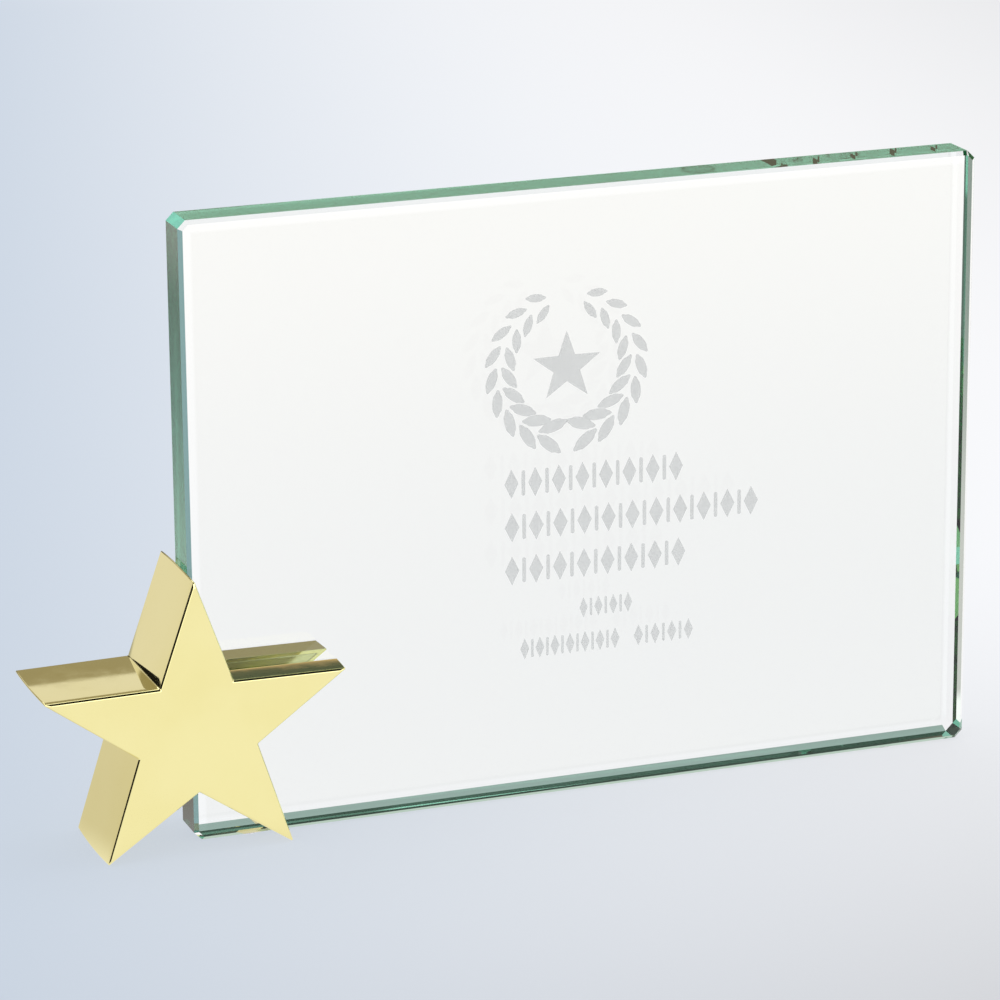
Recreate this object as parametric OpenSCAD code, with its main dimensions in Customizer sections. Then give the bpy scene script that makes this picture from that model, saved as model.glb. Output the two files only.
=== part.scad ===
// Star trophy: an upright rectangular glass plate held at its lower left corner
// in the slot of a thick five-pointed metal star.
// Origin: on the table, under the middle of the whole trophy.
// +X to the right, +Y to the back, +Z up. The front faces -Y.

/* [Glass plate] */
// Width of the glass plate
plate_w = 171; // [120:1:230]
// Height of the glass plate
plate_h = 128; // [90:1:180]
// Thickness of the glass
plate_t = 10; // [6:0.5:14]
// Leg of the clipped corners
corner_clip = 1.6; // [0.5:0.1:4]
// Leg of the polished arris along the edges of the plate's front face
front_arris = 0.8; // [0.2:0.1:1]
// Leg of the wider arris along the edges of its back face
back_arris = 1.2; // [0.2:0.1:1.5]

/* [Star holder] */
// Radius from the star's centre to its rounded top tip
star_r = 31.7; // [24:0.1:45]
// Radius from the star's centre to its lowest inner corner
star_r_inner = 12.65; // [9:0.05:20]
// How many times wider the star is than a regular one of its height
star_widen = 1.04; // [1:0.01:1.1]
// Radius of the rounded tips
tip_round = 0.2; // [0.1:0.05:1.5]
// Radius of the fillets in the inner corners
inner_round = 0.3; // [0.2:0.1:2]
// Depth of the star, front to back
star_d = 23.5; // [19:0.5:34]
// Leg of the polished chamfer round the front and back faces
star_chamfer = 0.35; // [0.2:0.05:0.8]
// How far the end of the plate stands to the right of the star's centre line
plate_setback = 0.7; // [0.7:0.1:3]

/* [Slot pads] */
// Thickness of the clear adhesive pads on both sides of the glass
side_pad_t = 0.3; // [0.2:0.05:0.6]
// Thickness of the clear cushion between the end of the glass and the slot floor
end_pad_t = 0.5; // [0.3:0.1:0.7]
// How far the pads stay inside the star's outline
pad_inset = 0.8; // [0.4:0.1:2]

/* [Bumper feet] */
// Diameter of each clear bumper foot
foot_dia = 8; // [5:0.5:9]
// Height of each clear bumper foot, which is the gap under the glass
foot_h = 0.3; // [0.2:0.1:1.2]
// Distance from the left end of the plate to the middle of its bumper foot
left_foot_gap = 12; // [8:1:20]
// Distance from the right end of the plate to the middle of its bumper foot
right_foot_gap = 18; // [8:1:30]

/* [Hidden] */
$fn = 96;

points = 5;
tip_step = 360 / points;
half_step = tip_step / 2;
// Flat steps in each rounded corner
round_steps = 6;

// The round of each tip is centred here. Its sides would meet at star_r_sharp, which
// depends on their angle, and a second pass settles the two closely enough.
tip_centre_r = star_r - tip_round;
first_angle = atan2(
    star_r_inner * sin(half_step), star_r - star_r_inner * cos(half_step)
);
first_sharp_r = tip_centre_r + tip_round / sin(first_angle);
tip_half_angle = atan2(
    star_r_inner * sin(half_step), first_sharp_r - star_r_inner * cos(half_step)
);
star_r_sharp = tip_centre_r + tip_round / sin(tip_half_angle);
// Distance from the star's centre to the line of each side, before the widening
flank_h = star_r_sharp * sin(tip_half_angle);
// How far each round turns to either side of its corner's own direction
tip_sweep = 90 - tip_half_angle;
inner_sweep = tip_sweep - half_step;
inner_centre_r = (flank_h + inner_round) / cos(inner_sweep);

// The lower two tips stand on the table, so the centre is this high.
star_z = tip_centre_r * cos(half_step) + tip_round;

// The star's left tip and the plate's right end stand equally far from the origin.
star_reach_x = star_widen * (tip_centre_r * cos(tip_step / 4) + tip_round);
overall_w = star_reach_x + plate_setback + plate_w;
plate_right_x = overall_w / 2;
plate_left_x = plate_right_x - plate_w;
star_x = plate_left_x - plate_setback;

slot_w = plate_t + 2 * side_pad_t;
slot_floor_x = plate_left_x - end_pad_t;

// A step along a direction, in the star's widened outline.
function spoke(length, angle) = [star_widen * length * cos(angle), length * sin(angle)];

// The star's outline with rounded corners.
round_star = [
    for (i = [0 : points - 1])
        let (tip_turn = 90 + i * tip_step, inner_turn = tip_turn + half_step)
        each concat(
            [
                for (k = [0 : round_steps])
                    spoke(tip_centre_r, tip_turn) + spoke(
                        tip_round, tip_turn + tip_sweep * (2 * k / round_steps - 1)
                    )
            ],
            [
                for (k = [0 : round_steps])
                    spoke(inner_centre_r, inner_turn) - spoke(
                        inner_round, inner_turn + inner_sweep * (1 - 2 * k / round_steps)
                    )
            ]
        )
];

// The star's outline with sharp corners, with every side moved in by inset.
function sharp_star(inset) = [
    for (i = [0 : 2 * points - 1])
        let (reach = i % 2 == 0 ? star_r_sharp : flank_h / cos(inner_sweep))
        spoke(reach * (flank_h - inset) / flank_h, 90 + i * half_step)
];

// Stands an upright sheet, drawn in X and Z, with its front at y = front_y.
module upright(front_y, depth) {
    translate([0, front_y + depth, 0])
        rotate([90, 0, 0])
            linear_extrude(height = depth)
                children();
}

// The chamfered end of the star's back face, from y = back_y. Shrinking the outline
// about the star's centre moves every side in by the chamfer's leg.
module face_chamfer(back_y) {
    translate([0, back_y, 0])
        rotate([-90, 0, 0])
            mirror([0, 1, 0])
                linear_extrude(height = star_chamfer, scale = 1 - star_chamfer / flank_h)
                    polygon(round_star);
}

// The solid star, before its slot is cut.
module star_body() {
    straight_y = star_d / 2 - star_chamfer;
    translate([star_x, 0, star_z]) {
        upright(-straight_y, 2 * straight_y)
            polygon(round_star);
        face_chamfer(straight_y);
        mirror([0, 1, 0])
            face_chamfer(straight_y);
    }
}

// The slot runs right through the star from top to bottom, open to the right.
module slot_cut() {
    translate([slot_floor_x, -slot_w / 2, star_z - 2 * star_r])
        cube([2 * star_r, slot_w, 4 * star_r]);
}

module star_holder() {
    color("gold")
        difference() {
            star_body();
            slot_cut();
        }
}

// The plate's outline in X and Z, with its four corners clipped at 45 degrees.
module plate_outline(inset) {
    left = plate_left_x + inset;
    right = plate_right_x - inset;
    low = foot_h + inset;
    high = foot_h + plate_h - inset;
    clip = corner_clip - inset * (2 - sqrt(2));
    polygon([
        [left + clip, low], [right - clip, low],
        [right, low + clip], [right, high - clip],
        [right - clip, high], [left + clip, high],
        [left, high - clip], [left, low + clip]
    ]);
}

// A flat arris runs round both faces of the plate, so the hull joins three slices: the
// front face, the full outline between the arrises, and the back face.
module glass_plate() {
    face_t = min(front_arris, back_arris) / 2;
    color([0.62, 0.86, 0.76, 0.45])
        hull() {
            upright(-plate_t / 2, face_t)
                plate_outline(front_arris);
            upright(-plate_t / 2 + front_arris, plate_t - front_arris - back_arris)
                plate_outline(0);
            upright(plate_t / 2 - face_t, face_t)
                plate_outline(back_arris);
        }
}

// The part of the star's outline that lies over the glass, pad_inset inside its sides.
module side_pad_outline() {
    intersection() {
        translate([star_x, star_z])
            polygon(sharp_star(pad_inset));
        translate([plate_left_x + corner_clip, foot_h + corner_clip])
            square([star_r, plate_h - 2 * corner_clip]);
    }
}

module front_slot_pad() {
    color([0.85, 0.9, 0.95, 0.5])
        upright(-slot_w / 2, side_pad_t)
            side_pad_outline();
}

module rear_slot_pad() {
    color([0.85, 0.9, 0.95, 0.5])
        upright(plate_t / 2, side_pad_t)
            side_pad_outline();
}

// The cushion fills the gap between the plate's end and the slot floor, from the
// star's lowest inner corner to where the metal above is as wide as its setback.
module end_slot_pad() {
    low = star_z - star_r_inner + inner_round + pad_inset;
    high = star_z + star_r_sharp - (plate_setback + pad_inset) / tan(tip_half_angle);
    color([0.85, 0.9, 0.95, 0.5])
        translate([slot_floor_x, -plate_t / 2 + front_arris, low])
            cube([end_pad_t, plate_t - front_arris - back_arris, high - low]);
}

// A low domed disc, with its flat top on the underside of the glass.
module bumper_foot(x) {
    rim_h = foot_h / 2;
    color([0.8, 0.82, 0.84, 0.6])
        translate([x, 0, 0])
            union() {
                cylinder(h = rim_h, d1 = foot_dia - 2 * rim_h, d2 = foot_dia);
                translate([0, 0, rim_h])
                    cylinder(h = foot_h - rim_h, d = foot_dia);
            }
}

module left_bumper_foot() {
    bumper_foot(plate_left_x + left_foot_gap);
}

module right_bumper_foot() {
    bumper_foot(plate_right_x - right_foot_gap);
}

star_holder();
glass_plate();
front_slot_pad();
rear_slot_pad();
end_slot_pad();
left_bumper_foot();
right_bumper_foot();
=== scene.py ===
"""Star trophy: a jade glass plate held upright by a thick polished gold star."""

import logging
import math
from dataclasses import dataclass, field
from enum import Enum
from typing import Any, Callable, Optional, Union

import bpy
from mathutils import Matrix, Vector


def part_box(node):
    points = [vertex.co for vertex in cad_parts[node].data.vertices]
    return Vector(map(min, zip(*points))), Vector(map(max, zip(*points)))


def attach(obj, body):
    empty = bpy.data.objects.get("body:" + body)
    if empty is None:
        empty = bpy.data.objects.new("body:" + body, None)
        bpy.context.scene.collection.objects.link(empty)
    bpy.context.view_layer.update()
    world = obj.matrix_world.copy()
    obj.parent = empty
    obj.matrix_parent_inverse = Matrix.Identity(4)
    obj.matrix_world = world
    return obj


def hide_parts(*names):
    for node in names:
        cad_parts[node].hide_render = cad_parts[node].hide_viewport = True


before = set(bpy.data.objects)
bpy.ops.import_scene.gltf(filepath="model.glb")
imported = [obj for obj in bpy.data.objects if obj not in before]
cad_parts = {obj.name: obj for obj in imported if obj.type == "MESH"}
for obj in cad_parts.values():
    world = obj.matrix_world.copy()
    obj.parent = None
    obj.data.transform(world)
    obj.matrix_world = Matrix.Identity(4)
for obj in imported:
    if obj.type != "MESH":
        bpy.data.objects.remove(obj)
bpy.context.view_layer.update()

log = logging.getLogger("star_trophy")

MM = 0.001
ROOT = "root"
Number = Union[float, int]
Colour = tuple[float, float, float]
Slope = tuple[float, float, float]


# --------------------------------------------------------------------------
# Shader building
# --------------------------------------------------------------------------


class Value:
    """A number socket in a node tree, with Python's operators as Math nodes."""

    def __init__(self, tree: "Shader", socket: bpy.types.NodeSocket) -> None:
        """Wraps one socket.

        Args:
            tree: The shader that the socket belongs to.
            socket: The output socket that carries the number.
        """
        self.tree = tree
        self.socket = socket

    def _math(self, operation: str, *terms: Union["Value", Number]) -> "Value":
        """Adds one Math node over the given terms and returns its result."""
        made = self.tree.node("Math", {"operation": operation}, dict(enumerate(terms)))
        return Value(self.tree, made.outputs[0])

    def __add__(self, other: Union["Value", Number]) -> "Value":
        """Sum."""
        return self._math("ADD", self, other)

    __radd__ = __add__

    def __sub__(self, other: Union["Value", Number]) -> "Value":
        """Difference."""
        return self._math("SUBTRACT", self, other)

    def __rsub__(self, other: Union["Value", Number]) -> "Value":
        """Reflected difference."""
        return self._math("SUBTRACT", other, self)

    def __mul__(self, other: Union["Value", Number]) -> "Value":
        """Product."""
        return self._math("MULTIPLY", self, other)

    __rmul__ = __mul__

    def __abs__(self) -> "Value":
        """Size without sign."""
        return self._math("ABSOLUTE", self)

    def at_most(self, other: Union["Value", Number]) -> "Value":
        """The smaller of two numbers."""
        return self._math("MINIMUM", self, other)

    def at_least(self, other: Union["Value", Number]) -> "Value":
        """The larger of two numbers."""
        return self._math("MAXIMUM", self, other)

    def ramp(self, low: Number, high: Number) -> "Value":
        """A smooth rise from 0 at low to 1 at high.

        Args:
            low: The number at which the rise starts.
            high: The number at which it ends.

        Returns:
            The smoothed value.
        """
        settings = {"interpolation_type": "SMOOTHSTEP"}
        inputs = {"Value": self, "From Min": low, "From Max": high}
        return Value(self.tree, self.tree.node("MapRange", settings, inputs).outputs[0])


class Shader:
    """A material's or the world's node tree, cleared and ready to be filled."""

    def __init__(self, tree: bpy.types.NodeTree) -> None:
        """Clears the tree.

        Args:
            tree: The node tree to fill.
        """
        self.tree = tree
        self.tree.nodes.clear()

    def node(
        self,
        kind: str,
        settings: Optional[dict[str, Any]] = None,
        inputs: Optional[dict[Union[str, int], Any]] = None,
    ) -> bpy.types.Node:
        """Adds one node.

        Args:
            kind: The node's type, without its ShaderNode prefix.
            settings: Its properties, which are set before its sockets.
            inputs: Numbers, colours, Values or sockets for its input sockets.

        Returns:
            The new node.
        """
        made = self.tree.nodes.new("ShaderNode" + kind)
        for name, setting in (settings or {}).items():
            setattr(made, name, setting)
        for name, given in (inputs or {}).items():
            socket = made.inputs[name]
            if isinstance(given, Value):
                self.tree.links.new(given.socket, socket)
            elif isinstance(given, bpy.types.NodeSocket):
                self.tree.links.new(given, socket)
            elif isinstance(given, tuple) and len(given) == 3 and socket.type == "RGBA":
                socket.default_value = (*given, 1.0)
            else:
                socket.default_value = given
        return made

    def object_place(self) -> bpy.types.NodeSocket:
        """The Object coordinates."""
        return self.node("TexCoord").outputs["Object"]

    def axes(self, vector: bpy.types.NodeSocket) -> tuple[Value, Value, Value]:
        """Splits a vector into its X, Y and Z numbers."""
        split = self.node("SeparateXYZ", None, {0: vector})
        return tuple(Value(self, out) for out in split.outputs)

    def noise(self, scale: float, detail: float = 2.0, stretch: Colour = (1, 1, 1)) -> Value:
        """Noise on Object coordinates.

        Args:
            scale: Features per metre.
            detail: Octaves.
            stretch: Scale along each axis.

        Returns:
            The noise, about 0.5 on average.
        """
        placed = self.node("Mapping", None, {"Vector": self.object_place(), "Scale": stretch})
        made = self.node(
            "TexNoise", None, {"Vector": placed.outputs[0], "Scale": scale, "Detail": detail}
        )
        return Value(self, made.outputs["Fac"])

    def blend(self, share: Value, low: Any, high: Any) -> bpy.types.NodeSocket:
        """Mixes two colours.

        Args:
            share: How much of high is taken.
            low: The colour at 0.
            high: The colour at 1.

        Returns:
            The mixed colour's socket.
        """
        mix = self.node("Mix", {"data_type": "RGBA"}, {0: share, 6: low, 7: high})
        return mix.outputs[2]

    def bump(self, height: Value, strength: float, distance: float) -> bpy.types.NodeSocket:
        """A Bump node over a height."""
        inputs = {"Height": height, "Strength": strength, "Distance": distance}
        return self.node("Bump", None, inputs).outputs[0]


def new_material(name: str) -> tuple[bpy.types.Material, Shader]:
    """Makes an empty node material.

    Args:
        name: The material's name.

    Returns:
        The material and its shader.
    """
    material = bpy.data.materials.new(name)
    material.use_nodes = True
    return material, Shader(material.node_tree)


# --------------------------------------------------------------------------
# Finishes
# --------------------------------------------------------------------------


@dataclass(frozen=True)
class PolishedGold:
    """Pale gold plate over a mirror-polished casting."""

    name: str = "polished_gold"
    colour: Colour = (0.893, 0.815, 0.402)
    deep_colour: Colour = (0.875, 0.792, 0.372)
    roughness: float = 0.035
    smudge: float = 0.05

    def make(self) -> bpy.types.Material:
        """Builds the material.

        Returns:
            The finished material.
        """
        material, shader = new_material(self.name)
        tone = shader.noise(60.0, 3.0)
        wipe = shader.noise(220.0, 4.0, (1.0, 1.0, 0.35))
        smear = (wipe * tone * 2.2).ramp(0.45, 0.95)
        ripple = shader.noise(150.0, 1.0)
        surface = shader.node(
            "BsdfPrincipled",
            None,
            {
                "Base Color": shader.blend(tone.ramp(0.35, 0.75), self.colour, self.deep_colour),
                "Metallic": 1.0,
                "Roughness": smear * self.smudge + self.roughness,
                "Normal": shader.bump(ripple, 0.08, 0.00002),
            },
        )
        output = shader.node("OutputMaterial")
        shader.tree.links.new(surface.outputs[0], output.inputs["Surface"])
        return material


@dataclass(frozen=True)
class JadeGlass:
    """Green-edged float glass with ground corners, with light and shade painted on its corners,
    its front-left arris and its left end.
    """

    name: str = "jade_glass"
    rim_tint: Colour = (1.0, 1.0, 1.0)
    field_tint: Colour = (0.90, 0.90, 0.885)
    # The left end's painted light and shade: painted shade at its foot, painted light low down,
    # painted shade higher up.
    end_foot_painted_shade: Colour = (0.01, 0.04, 0.035)
    end_low_painted_light: Colour = (1.0, 0.78, 0.92)
    end_high_painted_shade: Colour = (0.105, 0.098, 0.066)
    # A dark teal line of painted shade on the front-left arris.
    arris_painted_shade: Colour = (0.05, 0.14, 0.14)
    # Ground corner colours, with painted light on the upper corners and painted shade on the
    # lower ones.
    clip_painted_light_colour: Colour = (0.26, 0.80, 0.58)
    clip_painted_shade_colour: Colour = (0.03, 0.085, 0.045)
    absorbed: Colour = (0.0, 0.60, 0.42)
    density: float = 9.0
    border: float = 2.4 * MM

    def make(self, low: Vector, high: Vector) -> bpy.types.Material:
        """Builds the material.

        Args:
            low: The plate's lowest corner.
            high: The plate's highest corner.

        Returns:
            The finished material.
        """
        material, shader = new_material(self.name)
        x, _, z = shader.axes(shader.object_place())
        surface_at = shader.node("NewGeometry").outputs
        face_x, face_y, face_z = shader.axes(surface_at["Normal"])
        outside = 1 - Value(shader, surface_at["Backfacing"])
        across = (x - low.x).at_most(high.x - x)
        up = (z - low.z).at_most(high.z - z)
        inner = across.at_most(up).ramp(self.border - 0.4 * MM, self.border + 0.4 * MM)
        left = (0 - face_x).ramp(0.90, 0.95) * outside
        arris = (0 - face_x).ramp(0.55, 0.65) * (0 - face_y).ramp(0.55, 0.65) * outside
        clip = abs(face_x).ramp(0.55, 0.65) * abs(face_z).ramp(0.55, 0.65)
        grain = shader.noise(1400.0, 2.0)
        # Painted light and shade on the left end: almost black at the foot, pale and pink-tinged
        # low down, dark higher up, broken up by the grain.
        height = (z - low.z).ramp(35 * MM, 122 * MM) * (grain * 0.35 + 0.83)
        end = shader.blend(height, self.end_low_painted_light, self.end_high_painted_shade)
        end = shader.blend((z - low.z).ramp(12 * MM, 18 * MM), self.end_foot_painted_shade, end)
        tint = shader.blend(inner, self.rim_tint, self.field_tint)
        tint = shader.blend(left, tint, end)
        # Painted shade: a dark teal line on the front-left arris.
        tint = shader.blend(arris, tint, self.arris_painted_shade)
        wipe = shader.noise(40.0, 3.0, (1.0, 1.0, 2.5)).ramp(0.5, 0.9)
        clear = shader.node(
            "BsdfPrincipled",
            None,
            {
                "Base Color": tint,
                "Roughness": wipe * 0.004,
                "IOR": 1.52,
                "Transmission Weight": 1.0,
            },
        )
        # The ground corners' green, with painted light higher up and painted shade lower down.
        clip_painted_light_share = (z - low.z).ramp(30 * MM, 90 * MM)
        clip_painted_light_and_shade = shader.blend(clip_painted_light_share, self.clip_painted_shade_colour, self.clip_painted_light_colour)
        ground = shader.node(
            "BsdfPrincipled",
            None,
            {
                "Base Color": clip_painted_light_and_shade,
                "Roughness": grain * 0.2 + 0.35,
                "IOR": 1.52,
                "Normal": shader.bump(grain, 0.3, 0.00002),
            },
        )
        surface = shader.node(
            "MixShader",
            None,
            {0: clip * 0.8, 1: clear.outputs[0], 2: ground.outputs[0]},
        )
        depth = shader.node(
            "VolumeAbsorption", None, {"Color": self.absorbed, "Density": self.density}
        )
        output = shader.node("OutputMaterial")
        shader.tree.links.new(surface.outputs[0], output.inputs["Surface"])
        shader.tree.links.new(depth.outputs[0], output.inputs["Volume"])
        return material


@dataclass(frozen=True)
class FrostedCut:
    """The fine frost of a sand-blasted engraving."""

    name: str = "frosted_engraving"
    colour: Colour = (0.66, 0.66, 0.64)
    cover: float = 0.30
    grain: float = 0.08

    def make(self) -> bpy.types.Material:
        """Builds the material.

        Returns:
            The finished material.
        """
        material, shader = new_material(self.name)
        fine = shader.noise(9000.0, 1.0)
        cloud = shader.noise(180.0, 3.0)
        surface = shader.node(
            "BsdfPrincipled",
            None,
            {
                "Base Color": self.colour,
                "Roughness": cloud * 0.15 + 0.55,
                "Alpha": (fine * self.grain + cloud * self.grain + (self.cover - self.grain)),
                "Normal": shader.bump(fine, 0.4, 0.00002),
            },
        )
        output = shader.node("OutputMaterial")
        shader.tree.links.new(surface.outputs[0], output.inputs["Surface"])
        return material


@dataclass(frozen=True)
class ClearRubber:
    """Clear soft plastic, as in adhesive pads and bumper feet."""

    name: str
    colour: Colour
    roughness: float

    def make(self) -> bpy.types.Material:
        """Builds the material.

        Returns:
            The finished material.
        """
        material, shader = new_material(self.name)
        cloud = shader.noise(400.0, 3.0)
        surface = shader.node(
            "BsdfPrincipled",
            None,
            {
                "Base Color": self.colour,
                "Roughness": cloud * 0.2 + self.roughness,
                "IOR": 1.45,
                "Transmission Weight": 1.0,
                "Normal": shader.bump(cloud, 0.3, 0.00005),
            },
        )
        output = shader.node("OutputMaterial")
        shader.tree.links.new(surface.outputs[0], output.inputs["Surface"])
        return material


# --------------------------------------------------------------------------
# Modelling helpers
# --------------------------------------------------------------------------

Test = Callable[[Vector], bool]


def deselect_all() -> None:
    if bpy.context.mode != "OBJECT":
        bpy.ops.object.mode_set(mode="OBJECT")
    bpy.ops.object.select_all(action="DESELECT")


def select_only(piece: bpy.types.Object) -> None:
    """Makes one object the selected and active one."""
    deselect_all()
    piece.select_set(True)
    bpy.context.view_layer.objects.active = piece


def select_points(piece: bpy.types.Object, test: Test) -> None:
    """In edit mode, selects the vertices that pass a test.

    Args:
        piece: The mesh object.
        test: Says whether a vertex at a place is selected.
    """
    bpy.ops.mesh.select_mode(type="VERT")
    bpy.ops.mesh.select_all(action="DESELECT")
    bpy.ops.object.mode_set(mode="OBJECT")
    for vertex in piece.data.vertices:
        vertex.select = test(vertex.co)
    bpy.ops.object.mode_set(mode="EDIT")


def apply_place(piece: bpy.types.Object) -> None:
    """Moves an object's place, turn and scale into its mesh."""
    select_only(piece)
    bpy.ops.object.transform_apply(location=True, rotation=True, scale=True)


def apply_modifiers(piece: bpy.types.Object) -> None:
    """Applies every modifier in its order."""
    select_only(piece)
    for modifier in list(piece.modifiers):
        bpy.ops.object.modifier_apply(modifier=modifier.name)


def outward(piece: bpy.types.Object) -> None:
    """Merges doubles and turns every face outwards."""
    select_only(piece)
    bpy.ops.object.mode_set(mode="EDIT")
    bpy.ops.mesh.select_all(action="SELECT")
    bpy.ops.mesh.remove_doubles(threshold=0.000001)
    bpy.ops.mesh.normals_make_consistent(inside=False)
    bpy.ops.object.mode_set(mode="OBJECT")


def smooth(piece: bpy.types.Object, degrees: float) -> None:
    """Smooth shading that keeps edges sharper than an angle, with flat faces kept flat."""
    select_only(piece)
    bpy.ops.object.shade_smooth_by_angle(angle=math.radians(degrees))
    weighted = piece.modifiers.new("flat faces", "WEIGHTED_NORMAL")
    weighted.mode = "FACE_AREA"
    weighted.weight = 90
    weighted.keep_sharp = True
    apply_modifiers(piece)


def dress(piece: bpy.types.Object, material: bpy.types.Material) -> None:
    """Puts one material on all of a piece."""
    piece.data.materials.clear()
    piece.data.materials.append(material)


def seat(piece: bpy.types.Object, slot: str, *nodes: str) -> None:
    """Rides a piece on the trophy's one body and says what it stands for.

    Args:
        piece: The finished piece.
        slot: The name of its material slot, which is only logged.
        nodes: The CAD nodes it stands for.
    """
    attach(piece, ROOT)
    if nodes:
        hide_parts(*nodes)
    faces = len(piece.data.polygons)
    log.info("piece %s: %d faces, slot %s, stands for %s", piece.name, faces, slot, nodes)


# --------------------------------------------------------------------------
# Sub-assemblies
# --------------------------------------------------------------------------


@dataclass
class GoldStar:
    """The thick polished star, with a slot that opens to the right."""

    finish: PolishedGold
    tips: int = 5
    widen: float = 1.04
    tip_round: float = 0.2 * MM
    inner_round: float = 0.3 * MM
    rim_leg: float = 0.5 * MM
    slot_round: float = 0.06 * MM
    flank_crown: float = 0.12 * MM
    crown_rings: int = 12
    corner_steps: int = 6
    tip_half_angle: float = 18.77
    low: Vector = field(init=False)
    high: Vector = field(init=False)

    def __post_init__(self) -> None:
        """Takes the star's place from its CAD node."""
        self.low, self.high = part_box("star_holder")
        plate_low, plate_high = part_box("glass_plate")
        pad_low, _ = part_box("front_slot_pad")
        _, pad_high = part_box("rear_slot_pad")
        floor_low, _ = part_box("end_slot_pad")
        self.slot_low = Vector((floor_low.x, pad_low.y, self.low.z - 0.01))
        self.slot_high = Vector((self.high.x + 0.01, pad_high.y, self.high.z + 0.01))
        half_step = math.pi / self.tips
        tip_reach = (self.high.x - self.low.x) / 2 / self.widen - self.tip_round
        self.tip_centre_r = tip_reach / math.cos(half_step / 2)
        narrow = math.radians(self.tip_half_angle)
        self.flank_h = self.tip_centre_r * math.sin(narrow) + self.tip_round
        self.middle = Vector(
            (
                (self.low.x + self.high.x) / 2,
                (self.low.y + self.high.y) / 2,
                self.tip_centre_r * math.cos(half_step) + self.tip_round,
            )
        )

    def _spoke(self, origin: Vector, length: float, angle: float) -> Vector:
        """A point at a distance and an upright angle, in degrees, from an origin."""
        turn = math.radians(angle)
        return origin + Vector((math.cos(turn), 0, math.sin(turn))) * length

    def _outline(self) -> bpy.types.Object:
        """A flat filled star with rounded corners, standing at the front face."""
        step = 360 / self.tips
        tip_sweep = 90 - self.tip_half_angle
        inner_sweep = tip_sweep - step / 2
        inner_centre_r = (self.flank_h + self.inner_round) / math.cos(math.radians(inner_sweep))
        centre = Vector((self.middle.x, self.low.y, self.middle.z))
        tip_centre = self._spoke(centre, self.tip_centre_r, 90)
        inner_centre = self._spoke(centre, inner_centre_r, 90 + step / 2)
        next_tip = self._spoke(centre, self.tip_centre_r, 90 + step)
        deselect_all()
        bpy.ops.mesh.primitive_plane_add(size=MM, location=(0, 0, 0))
        piece = bpy.context.object
        piece.name = piece.data.name = "polished_star"
        bpy.ops.object.mode_set(mode="EDIT")
        bpy.ops.mesh.merge(type="CENTER")
        start = self._spoke(tip_centre, self.tip_round, 90 - tip_sweep)
        bpy.ops.transform.translate(value=start)
        bpy.ops.mesh.spin(
            steps=self.corner_steps,
            angle=math.radians(2 * tip_sweep),
            center=tip_centre,
            axis=(0, 1, 0),
        )
        leave = self._spoke(tip_centre, self.tip_round, 90 + tip_sweep)
        turn_in = 90 + step / 2 + 180
        enter = self._spoke(inner_centre, self.inner_round, turn_in + inner_sweep)
        bpy.ops.mesh.extrude_vertices_move(TRANSFORM_OT_translate={"value": enter - leave})
        bpy.ops.mesh.spin(
            steps=self.corner_steps // 2,
            angle=math.radians(-2 * inner_sweep),
            center=inner_centre,
            axis=(0, 1, 0),
        )
        leave = self._spoke(inner_centre, self.inner_round, turn_in - inner_sweep)
        enter = self._spoke(next_tip, self.tip_round, 90 + step - tip_sweep)
        bpy.ops.mesh.extrude_vertices_move(TRANSFORM_OT_translate={"value": enter - leave})
        bpy.ops.mesh.select_all(action="SELECT")
        bpy.ops.mesh.spin(
            steps=self.tips, dupli=True, angle=2 * math.pi, center=centre, axis=(0, 1, 0)
        )
        bpy.ops.mesh.select_all(action="SELECT")
        bpy.ops.mesh.remove_doubles(threshold=0.01 * MM)
        bpy.ops.mesh.edge_face_add()
        bpy.ops.transform.resize(value=(self.widen, 1, 1), center_override=centre)
        bpy.ops.object.mode_set(mode="OBJECT")
        return piece

    def _rings(self) -> list[tuple[float, float]]:
        """The rings of corners from front to back, with soft chamfers and crowned sides.

        Returns:
            Each ring's distance behind the star's middle, and how far its sides stand in.
        """
        half = (self.high.y - self.low.y) / 2
        profile = ((0.0, 1.0), (0.07, 0.78), (0.22, 0.60), (0.60, 0.22), (0.78, 0.07), (1.0, 0.0))
        rim = [(down * self.rim_leg - half, inset * self.rim_leg) for down, inset in profile]
        steps = [2 * ring / self.crown_rings - 1 for ring in range(1, self.crown_rings)]
        sides = [(step * (half - self.rim_leg), 0.0) for step in steps]
        back = [(-off_y, inset) for off_y, inset in reversed(rim)]
        crown = self.flank_crown / half**2
        return [(off_y, inset + crown * off_y**2) for off_y, inset in (*rim, *sides, *back)]

    def build(self) -> bpy.types.Object:
        """Builds the star.

        Returns:
            The finished piece, without its material.
        """
        piece = self._outline()
        depth = self.high.y - self.low.y
        bpy.ops.object.mode_set(mode="EDIT")
        bpy.ops.mesh.select_all(action="SELECT")
        bpy.ops.mesh.extrude_region_move(TRANSFORM_OT_translate={"value": (0, depth, 0)})
        rings = self._rings()
        for off_y, _ in rings[1:-1]:
            bpy.ops.mesh.select_all(action="SELECT")
            cut_at = self.middle + Vector((0, off_y, 0))
            bpy.ops.mesh.bisect(plane_co=cut_at, plane_no=(0, 1, 0))
        for off_y, inset in rings:
            ring_y = self.middle.y + off_y
            scale = 1 - inset / self.flank_h
            select_points(piece, lambda place: abs(place.y - ring_y) < 0.01 * MM)
            bpy.ops.transform.resize(
                value=(scale, 1, scale),
                center_override=(self.middle.x, ring_y, self.middle.z),
            )
        bpy.ops.object.mode_set(mode="OBJECT")
        outward(piece)
        self._cut_slot(piece)
        self._round_slot(piece)
        self._divide_faces(piece)
        outward(piece)
        smooth(piece, 50)
        return piece

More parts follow.
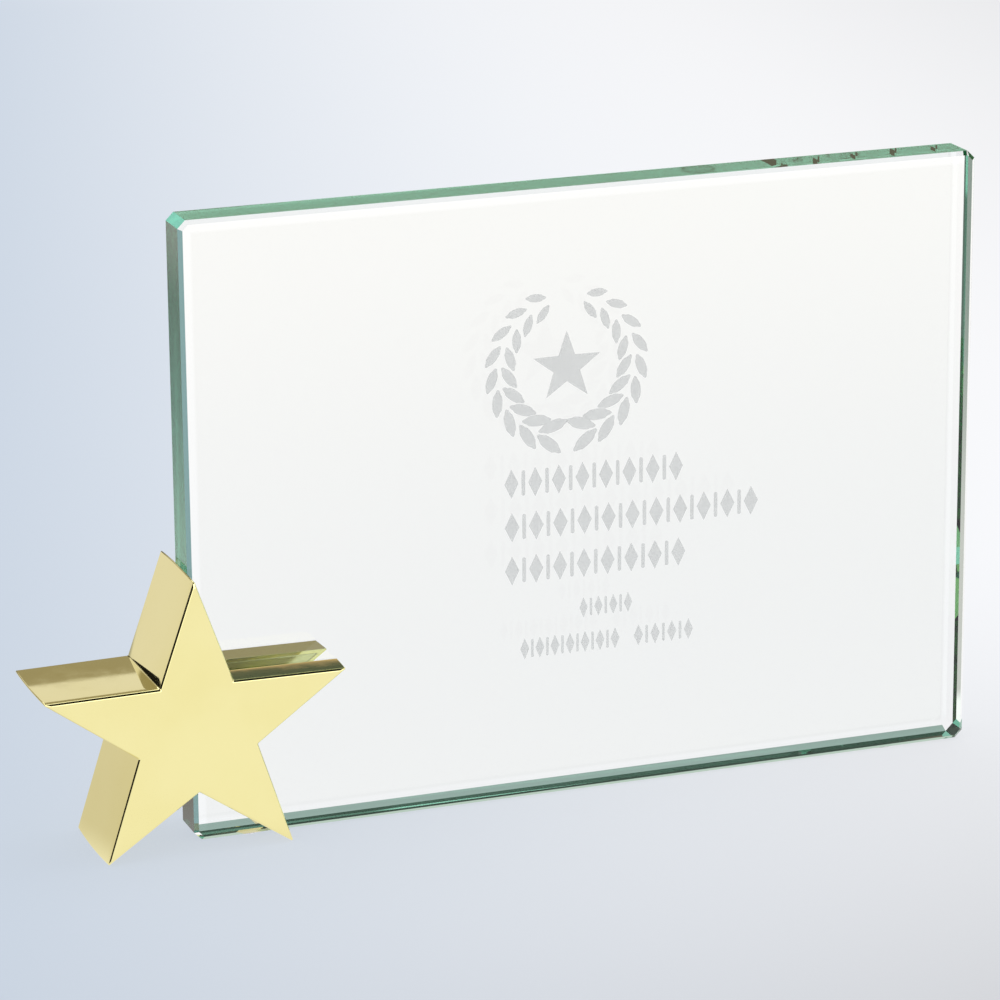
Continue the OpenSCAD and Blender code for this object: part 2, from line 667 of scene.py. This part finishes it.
    def _cut_slot(self, piece: bpy.types.Object) -> None:
        """Cuts the slot for the plate and its pads."""
        size = self.slot_high - self.slot_low
        deselect_all()
        bpy.ops.mesh.primitive_cube_add(size=1, location=(self.slot_low + self.slot_high) / 2)
        cutter = bpy.context.object
        cutter.scale = size
        apply_place(cutter)
        cut = piece.modifiers.new("slot", "BOOLEAN")
        cut.operation = "DIFFERENCE"
        cut.solver = "EXACT"
        cut.object = cutter
        apply_modifiers(piece)
        bpy.data.objects.remove(cutter)
        select_only(piece)
        bpy.ops.object.mode_set(mode="EDIT")
        bpy.ops.mesh.select_all(action="SELECT")
        bpy.ops.mesh.remove_doubles(threshold=self.slot_round * 0.6)
        bpy.ops.object.mode_set(mode="OBJECT")

    def _round_slot(self, piece: bpy.types.Object) -> None:
        """Rounds the slot's edges, the only ones that are still sharp."""
        edges = piece.modifiers.new("slot edges", "BEVEL")
        edges.width = self.slot_round
        edges.segments = 2
        edges.limit_method = "ANGLE"
        edges.angle_limit = math.radians(45)
        edges.use_clamp_overlap = False
        apply_modifiers(piece)

    def _divide_faces(self, piece: bpy.types.Object) -> None:
        """Divides the wide faces along the spokes, so that none is hollow in outline."""
        select_only(piece)
        bpy.ops.object.mode_set(mode="EDIT")
        for index in range(self.tips):
            turn = math.radians(90 + index * 360 / self.tips)
            bpy.ops.mesh.select_all(action="SELECT")
            bpy.ops.mesh.bisect(
                plane_co=self.middle,
                plane_no=(-math.sin(turn), 0, self.widen * math.cos(turn)),
                threshold=0.002 * MM,
            )
        bpy.ops.object.mode_set(mode="OBJECT")

    def make(self) -> None:
        """Builds, dresses and seats the star."""
        piece = self.build()
        dress(piece, self.finish.make())
        seat(piece, "polished_gold", "star_holder")


@dataclass
class GlassPlate:
    """The upright jade glass plate, whose shape the CAD node already has."""

    finish: JadeGlass

    def make(self) -> None:
        """Dresses the CAD node."""
        low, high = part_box("glass_plate")
        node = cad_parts["glass_plate"]
        dress(node, self.finish.make(low, high))
        log.info("CAD node glass_plate keeps its shape, in %s", self.finish.name)


@dataclass
class SlotPads:
    """The clear adhesive pads that hold the glass in the slot."""

    finish: ClearRubber
    air: float = 0.02 * MM

    def _pad(self, node: str, name: str) -> bpy.types.Object:
        """Copies a CAD pad, a little thinner than the gap that it fills.

        Args:
            node: The CAD node.
            name: The new piece's name.

        Returns:
            The new piece.
        """
        low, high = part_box(node)
        middle = (low + high) / 2
        deselect_all()
        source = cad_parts[node]
        piece = bpy.data.objects.new(name, source.data.copy())
        piece.data.name = name
        bpy.context.scene.collection.objects.link(piece)
        outward(piece)
        size = high - low
        scale = [1 - 2 * self.air / side for side in size]
        bpy.ops.object.mode_set(mode="EDIT")
        bpy.ops.mesh.select_all(action="SELECT")
        bpy.ops.mesh.dissolve_limited(angle_limit=math.radians(1))
        bpy.ops.transform.resize(value=scale, center_override=middle)
        bpy.ops.object.mode_set(mode="OBJECT")
        corners = piece.modifiers.new("soft corners", "BEVEL")
        corners.width = 0.08 * MM
        corners.segments = 2
        corners.limit_method = "ANGLE"
        corners.angle_limit = math.radians(30)
        apply_modifiers(piece)
        smooth(piece, 40)
        return piece

    def make(self) -> None:
        """Builds, dresses and seats the three pads."""
        material = self.finish.make()
        for node, name in (
            ("front_slot_pad", "front_adhesive_pad"),
            ("rear_slot_pad", "rear_adhesive_pad"),
            ("end_slot_pad", "end_cushion"),
        ):
            piece = self._pad(node, name)
            dress(piece, material)
            seat(piece, "clear_pad", node)


@dataclass
class BumperFeet:
    """The two low domed bumpers under the plate."""

    finish: ClearRubber
    air: float = 0.01 * MM

    def _dome(self, node: str, name: str) -> bpy.types.Object:
        """Builds one bumper in the space of its CAD node.

        Args:
            node: The CAD node.
            name: The new piece's name.

        Returns:
            The new piece.
        """
        low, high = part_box(node)
        middle = (low + high) / 2
        radius = (high.x - low.x) / 2
        height = high.z - low.z - self.air
        deselect_all()
        bpy.ops.mesh.primitive_cylinder_add(
            vertices=64,
            radius=radius,
            depth=height,
            end_fill_type="NGON",
            location=(middle.x, middle.y, low.z + height / 2),
        )
        piece = bpy.context.object
        piece.name = piece.data.name = name
        apply_place(piece)
        bpy.ops.object.mode_set(mode="EDIT")
        for share in (0.07, 0.2):
            select_points(piece, lambda place: place.z < low.z + 0.05 * MM)
            bpy.ops.mesh.select_mode(type="FACE")
            bpy.ops.mesh.inset(thickness=radius * share, depth=0.0)
        bpy.ops.object.mode_set(mode="OBJECT")
        edge = piece.modifiers.new("rolled edge", "BEVEL")
        edge.width = height * 0.42
        edge.segments = 5
        edge.limit_method = "ANGLE"
        edge.angle_limit = math.radians(40)
        apply_modifiers(piece)
        smooth(piece, 40)
        return piece

    def make(self) -> None:
        """Builds, dresses and seats both bumpers."""
        material = self.finish.make()
        for node, name in (
            ("left_bumper_foot", "left_bumper"),
            ("right_bumper_foot", "right_bumper"),
        ):
            piece = self._dome(node, name)
            dress(piece, material)
            seat(piece, "clear_bumper", node)


class Side(Enum):
    """The two branches of a laurel wreath."""

    LEFT = -1
    RIGHT = 1


@dataclass
class Engraving:
    """The frosted award motif: a laurel wreath round a star, over decorative bands."""

    finish: FrostedCut
    proud: float = 0.012 * MM
    wreath_r: float = 14.5 * MM
    leaf_l: float = 6.6 * MM
    leaf_w: float = 2.5 * MM
    leaves: int = 9
    pieces: list[bpy.types.Object] = field(default_factory=list)

    def __post_init__(self) -> None:
        """Takes the plate's front from its CAD node."""
        low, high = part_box("glass_plate")
        self.front_y = low.y
        self.middle = (low + high) / 2

    def _place(self, x: float, z: float) -> Vector:
        """A point on the plate's front, from millimetres right and up of its middle."""
        return Vector((self.middle.x + x * MM, self.front_y, self.middle.z + z * MM))

    def _sheet(self, corners: int, at: Vector, radius: float) -> bpy.types.Object:
        """A thin flat disc or polygon on the plate's front."""
        deselect_all()
        bpy.ops.mesh.primitive_circle_add(
            vertices=corners,
            radius=radius,
            fill_type="NGON",
            location=at,
            rotation=(math.pi / 2, 0, 0),
        )
        piece = bpy.context.object
        apply_place(piece)
        return piece

    def _thicken(self, piece: bpy.types.Object) -> None:
        """Gives a flat cut its slight thickness, standing out of the glass."""
        select_only(piece)
        bpy.ops.object.mode_set(mode="EDIT")
        bpy.ops.mesh.select_all(action="SELECT")
        bpy.ops.transform.translate(value=(0, -0.002 * MM, 0))
        bpy.ops.mesh.extrude_region_move(TRANSFORM_OT_translate={"value": (0, -self.proud, 0)})
        bpy.ops.object.mode_set(mode="OBJECT")
        outward(piece)

    def _join(self, parts: list[bpy.types.Object], name: str) -> bpy.types.Object:
        """Joins parts into one piece and keeps it."""
        deselect_all()
        for part in parts:
            part.select_set(True)
        bpy.context.view_layer.objects.active = parts[0]
        if len(parts) > 1:
            bpy.ops.object.join()
        piece = bpy.context.object
        piece.name = piece.data.name = name
        self._thicken(piece)
        self.pieces.append(piece)
        return piece

    def _leaf(self, at: Vector, turn: float, scale: float) -> bpy.types.Object:
        """One pointed leaf.

        Args:
            at: The leaf's middle.
            turn: Its angle from upright, clockwise, in radians.
            scale: Its size, as a share of the largest leaf.

        Returns:
            The flat leaf.
        """
        leaf = self._sheet(24, at, self.leaf_l / 2 * scale)
        bpy.ops.object.mode_set(mode="EDIT")
        bpy.ops.mesh.select_all(action="SELECT")
        width = self.leaf_w / self.leaf_l
        bpy.ops.transform.resize(value=(width, 1, 1), center_override=at)
        for end in (-1, 1):
            select_points(
                leaf, lambda place: end * (place.z - at.z) > self.leaf_l * scale * 0.33
            )
            bpy.ops.transform.resize(value=(0.72, 1, 1), center_override=at)
        bpy.ops.object.mode_set(mode="OBJECT")
        select_only(leaf)
        bpy.context.scene.cursor.location = at
        bpy.ops.object.origin_set(type="ORIGIN_CURSOR")
        leaf.rotation_euler = (0, turn, 0)
        apply_place(leaf)
        return leaf

    def _branch(self, centre: Vector, side: Side) -> list[bpy.types.Object]:
        """The leaves and the stem of one branch."""
        parts = []
        for index in range(self.leaves):
            share = index / (self.leaves - 1)
            angle = math.radians(166 - 142 * share) * side.value
            size = 1.0 - 0.32 * share
            for lift, lean in ((1.12, 26), (0.86, -30)):
                at = centre + Vector((math.sin(angle), 0, math.cos(angle))) * self.wreath_r * lift
                turn = angle - side.value * math.radians(90 + lean)
                parts.append(self._leaf(at, turn, size))
        return parts

    def _star(self, centre: Vector, radius: float) -> bpy.types.Object:
        """A five-pointed star in the wreath."""
        star = self._sheet(10, centre, radius)
        bpy.ops.object.mode_set(mode="EDIT")

        def is_inner(place: Vector) -> bool:
            """True for the corners between two tips."""
            turn = math.atan2(place.x - centre.x, place.z - centre.z) * 5 / math.pi
            return round(turn) % 2 == 1

        select_points(star, is_inner)
        bpy.ops.transform.resize(value=(0.4, 0.4, 0.4), center_override=centre)
        bpy.ops.object.mode_set(mode="OBJECT")
        return star

    def _lozenge(self, x: float, z: float, width: float, height: float) -> bpy.types.Object:
        """A lozenge, placed and sized in millimetres from the plate's middle."""
        at = self._place(x, z)
        lozenge = self._sheet(4, at, height / 2 * MM)
        bpy.ops.object.mode_set(mode="EDIT")
        bpy.ops.mesh.select_all(action="SELECT")
        bpy.ops.transform.resize(value=(width / height, 1, 1), center_override=at)
        bpy.ops.object.mode_set(mode="OBJECT")
        return lozenge

    def _dash(self, x: float, z: float, width: float, height: float) -> bpy.types.Object:
        """An upright dash with round ends, in millimetres from the plate's middle."""
        at = self._place(x, z)
        dash = self._sheet(16, at, width / 2 * MM)
        bpy.ops.object.mode_set(mode="EDIT")
        for end in (-1, 1):
            select_points(dash, lambda place: end * (place.z - at.z) > 0.001 * MM)
            bpy.ops.transform.translate(value=(0, 0, end * (height - width) / 2 * MM))
        bpy.ops.object.mode_set(mode="OBJECT")
        return dash

    def _band(
        self, x_low: float, x_high: float, z: float, height: float, count: int
    ) -> list[bpy.types.Object]:
        """A decorative band of lozenges with a dash between each two.

        Args:
            x_low: Its left end, in millimetres from the plate's middle.
            x_high: Its right end.
            z: The height of its middle.
            height: The lozenges' height.
            count: How many lozenges it has.

        Returns:
            The band's flat parts.
        """
        pitch = (x_high - x_low) / count
        width = pitch * 0.62
        parts = []
        for index in range(count):
            x = x_low + width / 2 + index * (x_high - x_low - width) / max(count - 1, 1)
            parts.append(self._lozenge(x, z, width, height))
            if index:
                gap_x = x - (x_high - x_low - width) / (count - 1) / 2
                parts.append(self._dash(gap_x, z, height * 0.13, height * 0.86))
        return parts

    def make(self) -> None:
        """Builds, dresses and seats the engraving."""
        centre = self._place(-5.0, 27.0)
        wreath = self._branch(centre, Side.LEFT) + self._branch(centre, Side.RIGHT)
        self._join(wreath, "engraved_wreath")
        self._join([self._star(centre, 7.6 * MM)], "engraved_star")
        bands = [
            *self._band(-18.6, 20.4, 3.6, 6.2, 8),
            *self._band(-18.6, 37.2, -5.6, 6.2, 11),
            *self._band(-18.6, 21.0, -14.8, 6.2, 8),
            *self._band(-2.4, 9.2, -24.4, 4.4, 4),
            *self._band(-15.4, 6.4, -31.8, 4.6, 7),
            *self._band(9.6, 22.8, -31.8, 4.6, 4),
        ]
        self._join(bands, "engraved_bands")
        material = self.finish.make()
        for piece in self.pieces:
            dress(piece, material)
            seat(piece, "jade_glass")


# --------------------------------------------------------------------------
# Studio
# --------------------------------------------------------------------------


@dataclass(frozen=True)
class SweepFinish:
    """The graded pale table, which glows evenly so that shadows on it stay faint."""

    name: str = "pale_table"
    left: Colour = (0.457, 0.549, 0.670)
    right: Colour = (0.989, 0.988, 1.000)
    near: Colour = (0.400, 0.404, 0.423)
    right_slope: Slope = (2.039, -0.486, 0.566)
    near_slope: Slope = (1.031, -2.254, 0.111)
    near_most: float = 0.62
    dim_slope: Slope = (1.144, -0.145, 0.024)
    dim_most: float = 0.7
    dim_depth: float = 0.35
    mirrored_front: Colour = (1.02, 1.02, 1.03)
    mirrored_near: Colour = (0.72, 0.685, 0.60)
    mirrored_far: Colour = (0.84, 0.81, 0.77)
    mirrored_shade: Colour = (0.42, 0.42, 0.42)
    clear_near: Colour = (1.062, 1.015, 1.054)
    clear_far: Colour = (1.181, 1.109, 1.118)
    deep_right: Colour = (1.05, 1.08, 1.02)
    deep_near: Colour = (0.58, 0.57, 0.53)
    deep_far: Colour = (0.24, 0.29, 0.25)
    deep_left: Colour = (0.35, 0.24, 0.24)
    matt_share: float = 0.16

    @staticmethod
    def _rise(x: Value, y: Value, slope: Slope) -> Value:
        """A smooth rise over the table: its steepness along X and Y, and its start."""
        along_x, along_y, start = slope
        return (x * along_x + y * along_y + start).ramp(0.0, 1.0)

    def _seen(self, shader: Shader, x: Value, y: Value) -> bpy.types.NodeSocket:
        """The table's glow: blue-grey on the left, white to the right and behind, greyer near the
        front, with painted shade dimming it towards the right.
        """
        x = x.at_least(-0.25).at_most(0.55)
        y = y.at_least(-0.2).at_most(0.9)
        side = shader.blend(self._rise(x, y, self.right_slope), self.left, self.right)
        near = self._rise(x, y, self.near_slope).at_most(self.near_most)
        colour = shader.blend(near, side, self.near)
        # Painted shade: the table's glow is dimmed towards the right.
        light = 1 - self._rise(x, y, self.dim_slope).at_most(self.dim_most) * self.dim_depth
        return shader.blend(light, (0.0, 0.0, 0.0), colour)

    def _mirrored(self, shader: Shader, x: Value, y: Value) -> bpy.types.NodeSocket:
        """The table as mirrors see it: warm behind, with a grey patch to the left."""
        behind = shader.blend(y.ramp(0.05, 0.42), self.mirrored_near, self.mirrored_far)
        patch = y.ramp(0.16, 0.34) * (x + 0.22).ramp(0.0, 0.03)
        behind = shader.blend(patch, behind, self.mirrored_shade)
        return shader.blend(y.ramp(-0.03, 0.03), self.mirrored_front, behind)

    def _through(self, shader: Shader, x: Value, y: Value, turned: Value) -> bpy.types.NodeSocket:
        """The table through the glass, darker where the light turned inside the plate."""
        clear = shader.blend(y.ramp(0.02, 0.6), self.clear_near, self.clear_far)
        beyond = (y - 0.02).ramp(0.0, 0.01) * (0.115 - x).ramp(0.0, 0.01)
        middle = shader.blend(y.ramp(0.12, 0.36), self.deep_near, self.deep_far)
        deep = shader.blend(beyond, self.deep_right, middle)
        deep = shader.blend((-0.15 - x).ramp(0.0, 0.05), deep, self.deep_left)
        return shader.blend(turned, clear, deep)

    def make(self) -> bpy.types.Material:
        """Builds the material.

        Returns:
            The finished material.
        """
        material, shader = new_material(self.name)
        x, y, _ = shader.axes(shader.object_place())
        path = shader.node("LightPath")
        glossy = Value(shader, path.outputs["Is Glossy Ray"])
        through = Value(shader, path.outputs["Is Transmission Ray"])
        turned = Value(shader, path.outputs["Ray Depth"]).ramp(2.4, 2.6)
        seen = self._seen(shader, x, y)
        colour = shader.blend(glossy, seen, self._mirrored(shader, x, y))
        colour = shader.blend(through, colour, self._through(shader, x, y, turned))
        glow = shader.node("Emission", None, {"Color": colour, "Strength": 1.0})
        matt = shader.node("BsdfDiffuse", None, {"Color": seen})
        matt_share = (1 - glossy) * (1 - through) * self.matt_share
        both = shader.node(
            "MixShader", None, {0: matt_share, 1: glow.outputs[0], 2: matt.outputs[0]}
        )
        output = shader.node("OutputMaterial")
        shader.tree.links.new(both.outputs[0], output.inputs["Surface"])
        return material


@dataclass(frozen=True)
class RoomGlow:
    """The pale room's light, as it is seen directly, in mirrors and through the glass."""

    name: str = "studio_surround"
    plain: Colour = (0.84, 0.87, 0.91)
    black: Colour = (0.012, 0.012, 0.012)
    front: Colour = (2.2, 2.2, 2.2)
    gleam: Colour = (2.0, 2.0, 2.0)
    back: Colour = (0.365, 0.325, 0.230)
    bank: Colour = (0.842, 0.816, 0.793)
    level: Colour = (0.9, 0.92, 0.93)
    low_green: Colour = (0.33, 0.45, 0.41)
    pale_green: Colour = (0.45, 0.58, 0.48)
    amber: Colour = (1.0, 0.66, 0.44)
    deep_green: Colour = (0.006, 0.035, 0.018)
    high_pale: Colour = (0.85, 0.90, 0.88)
    top_green: Colour = (0.02, 0.07, 0.045)

    def _mirrored(self, shader: Shader, x: Value, y: Value, z: Value) -> bpy.types.NodeSocket:
        """The room as mirrors see it: bright in front, black overhead and low behind."""
        bank = z.ramp(0.3252, 0.3266) * (1 - z.ramp(0.395, 0.405))
        bank = bank * (1 - (x - y * 0.29).ramp(0.0, 0.02))
        back = shader.blend(bank, self.back, self.bank)
        middle = shader.blend(y.ramp(-0.15, 0.15), self.front, back)
        roof = z.ramp(0.54, 0.60) * (1 - z.ramp(0.97, 0.99))
        colour = shader.blend(roof, middle, self.black)
        gleam = z.ramp(0.50, 0.54) * (1 - z.ramp(0.80, 0.84)) * y.ramp(0.40, 0.50)
        colour = shader.blend(gleam, colour, self.gleam)
        skirt = (1 - z.ramp(0.15, 0.19)) * (y + 0.6).ramp(-0.1, 0.1)
        return shader.blend(skirt, colour, self.black)

    def _through(self, shader: Shader, z: Value) -> bpy.types.NodeSocket:
        """The room through the glass, in bands of height that its edges pick up."""
        colour = shader.blend(z.ramp(0.205, 0.215), self.low_green, self.pale_green)
        colour = shader.blend(z.ramp(0.265, 0.28), colour, self.amber)
        colour = shader.blend(z.ramp(0.325, 0.335), colour, self.deep_green)
        colour = shader.blend(z.ramp(0.44, 0.60), colour, self.high_pale)
        colour = shader.blend(z.ramp(0.75, 0.85), colour, self.top_green)
        return shader.blend(abs(z).ramp(0.10, 0.12), self.level, colour)

    def make(self) -> bpy.types.World:
        """Builds the world.

        Returns:
            The finished world.
        """
        world = bpy.data.worlds.new(self.name)
        world.use_nodes = True
        shader = Shader(world.node_tree)
        x, y, z = shader.axes(shader.node("TexCoord").outputs["Generated"])
        path = shader.node("LightPath")
        glossy = Value(shader, path.outputs["Is Glossy Ray"])
        through = Value(shader, path.outputs["Is Transmission Ray"])
        colour = shader.blend(glossy, self.plain, self._mirrored(shader, x, y, z))
        colour = shader.blend(through, colour, self._through(shader, z))
        glow = shader.node("Background", None, {"Color": colour, "Strength": 1.0})
        output = shader.node("OutputWorld")
        shader.tree.links.new(glow.outputs[0], output.inputs["Surface"])
        return world


@dataclass
class Studio:
    """The floor, the lights and the camera."""

    floor_half: float = 6.0
    camera_yaw: float = 20.21
    camera_pitch: float = 16.55
    camera_roll: float = -0.45
    camera_distance: float = 934.5 * MM
    camera_right: float = 18.36 * MM
    camera_up: float = 1.53 * MM
    lens_ratio: float = 4.588
    sensor: float = 36.0
    lamp_size: float = 1.4
    lamp_power: float = 9.0

    def _floor(self) -> None:
        """A wide flat floor."""
        deselect_all()
        bpy.ops.mesh.primitive_grid_add(
            x_subdivisions=2, y_subdivisions=2, size=2 * self.floor_half, location=(0, 0, 0)
        )
        floor = bpy.context.object
        floor.name = "studio_floor"
        dress(floor, SweepFinish().make())
        log.info("stage %s", floor.name)

    def _lamp(self) -> None:
        """A soft square lamp overhead, which lights the table but shows in no mirror."""
        place = Vector((0.3, 0.2, 1.6))
        deselect_all()
        bpy.ops.object.light_add(type="AREA", location=place)
        lamp = bpy.context.object
        lamp.name = "overhead_soft"
        lamp.data.size = self.lamp_size
        lamp.data.energy = self.lamp_power
        lamp.visible_glossy = False
        lamp.visible_transmission = False
        lamp.rotation_euler = (-place).to_track_quat("-Z", "Y").to_euler()

    def _camera(self) -> None:
        """The camera, turned and set off from the middle of the plate's front face."""
        low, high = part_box("glass_plate")
        middle = (low + high) / 2
        target = Vector((middle.x, low.y, middle.z))
        yaw, pitch = math.radians(self.camera_yaw), math.radians(self.camera_pitch)
        forward = Vector(
            (
                math.sin(yaw) * math.cos(pitch),
                math.cos(yaw) * math.cos(pitch),
                -math.sin(pitch),
            )
        )
        roll = Matrix.Rotation(math.radians(-self.camera_roll), 3, forward)
        right = roll @ Vector((math.cos(yaw), -math.sin(yaw), 0))
        up = right.cross(forward)
        deselect_all()
        bpy.ops.object.camera_add()
        camera = bpy.context.object
        camera.name = "studio_camera"
        camera.location = (
            target
            - forward * self.camera_distance
            - right * self.camera_right
            - up * self.camera_up
        )
        camera.rotation_euler = Matrix((right, up, -forward)).transposed().to_euler()
        camera.data.sensor_width = self.sensor
        camera.data.lens = self.lens_ratio * self.sensor
        camera.data.clip_start = 0.05
        camera.data.clip_end = 50
        bpy.context.scene.camera = camera

    def make(self) -> None:
        """Builds the whole studio."""
        self._floor()
        bpy.context.scene.world = RoomGlow().make()
        self._camera()
        self._lamp()
        paths = bpy.context.scene.cycles
        paths.max_bounces = 40
        paths.transmission_bounces = 40
        paths.glossy_bounces = 24
        view = bpy.context.scene.view_settings
        view.view_transform = "Standard"
        view.look = "None"


def main() -> None:
    """Builds the trophy and its studio, and reports each piece."""
    logging.basicConfig(level=logging.INFO, format="%(name)s: %(message)s")
    GoldStar(PolishedGold()).make()
    GlassPlate(JadeGlass()).make()
    SlotPads(ClearRubber("clear_pad", (0.93, 0.95, 0.98), 0.10)).make()
    BumperFeet(ClearRubber("clear_bumper", (0.86, 0.88, 0.90), 0.12)).make()
    Engraving(FrostedCut()).make()
    Studio().make()


if __name__ == "__main__":
    main()
